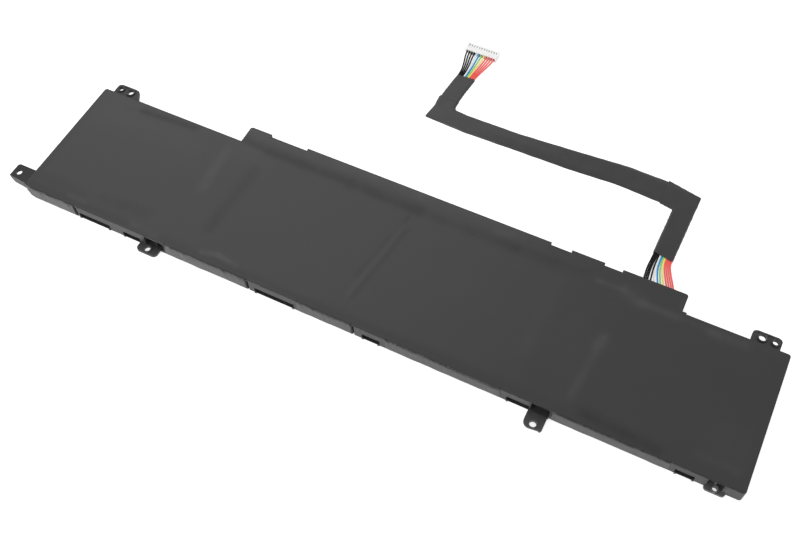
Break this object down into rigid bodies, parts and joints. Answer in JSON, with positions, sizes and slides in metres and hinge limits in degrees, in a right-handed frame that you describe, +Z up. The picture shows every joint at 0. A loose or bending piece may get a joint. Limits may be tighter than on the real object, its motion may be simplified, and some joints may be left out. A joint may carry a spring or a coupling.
{
  "type": "laptop battery",
  "caption": "Flat laptop battery pack: pouch cells in a moulded frame under a dark film, with screw ears and a flat taped wire harness that ends in a white plug.",
  "frame": {"origin": "middle of the underside of the pack, ears included, harness left out", "axes": "+X along the pack to the end away from the side ear, +Y to the board bay and the harness, +Z up through the film"},
  "size_m": [0.3292, 0.1718, 0.0071],
  "materials": {
    "frame_plastic": "fine moulded grain, black",
    "film": "thin satin insulating film, dark grey",
    "pouch": "laminated foil pouch, satin",
    "tab_metal": "thin bright tab",
    "strip_metal": "nickel strip",
    "mounting_tape": "double-sided tape",
    "amber_tape": "clear amber insulating tape",
    "board": "green solder mask",
    "chip_body": "moulded chip case",
    "resistor": "coated resistor",
    "fuse_body": "ceramic fuse",
    "thermistor_body": "small bead",
    "solder": "bright solder",
    "plug_nylon": "natural nylon, slightly clear",
    "contact_metal": "tinned contact",
    "wrap_tape": "dark grey wrapping tape, satin",
    "wire_black": "smooth insulation",
    "wire_white": "smooth insulation",
    "wire_blue": "smooth insulation",
    "wire_green": "smooth insulation",
    "wire_yellow": "smooth insulation",
    "wire_red": "smooth insulation"
  },
  "bodies": {
    "root": {"frame": "frame_plastic", "top_film": "film", "bottom_film": "film", "circuit_board": "board", "sense_resistor": "resistor", "fuse": "fuse_body", "thermistor": "thermistor_body", "wire_joints": "solder", "plug_housing": "plug_nylon", "plug_contacts": "contact_metal", "cell_1": "pouch", "cell_2": "pouch", "cell_3": "pouch", "cell_4": "pouch", "cell_1_front_tab": "tab_metal", "cell_1_back_tab": "tab_metal", "cell_2_front_tab": "tab_metal", "cell_2_back_tab": "tab_metal", "cell_3_front_tab": "tab_metal", "cell_3_back_tab": "tab_metal", "cell_4_front_tab": "tab_metal", "cell_4_back_tab": "tab_metal", "left_outer_strip": "strip_metal", "left_shared_strip": "strip_metal", "left_inner_strip": "strip_metal", "right_outer_strip": "strip_metal", "right_shared_strip": "strip_metal", "right_inner_strip": "strip_metal", "cell_tape_1": "mounting_tape", "cell_tape_2": "mounting_tape", "cell_tape_3": "mounting_tape", "cell_tape_4": "mounting_tape", "tab_cover_1": "amber_tape", "tab_cover_2": "amber_tape", "mosfet_1": "chip_body", "mosfet_2": "chip_body", "gauge_chip": "chip_body", "guard_chip": "chip_body", "wrap_pack_end": "wrap_tape", "wrap_middle": "wrap_tape", "wrap_plug_end": "wrap_tape", "wire_1": "wire_black", "wire_2": "wire_black", "wire_3": "wire_black", "wire_4": "wire_black", "wire_5": "wire_white", "wire_6": "wire_blue", "wire_7": "wire_green", "wire_8": "wire_yellow", "wire_9": "wire_red", "wire_10": "wire_red", "wire_11": "wire_red", "wire_12": "wire_red"}
  },
  "joints": []
}
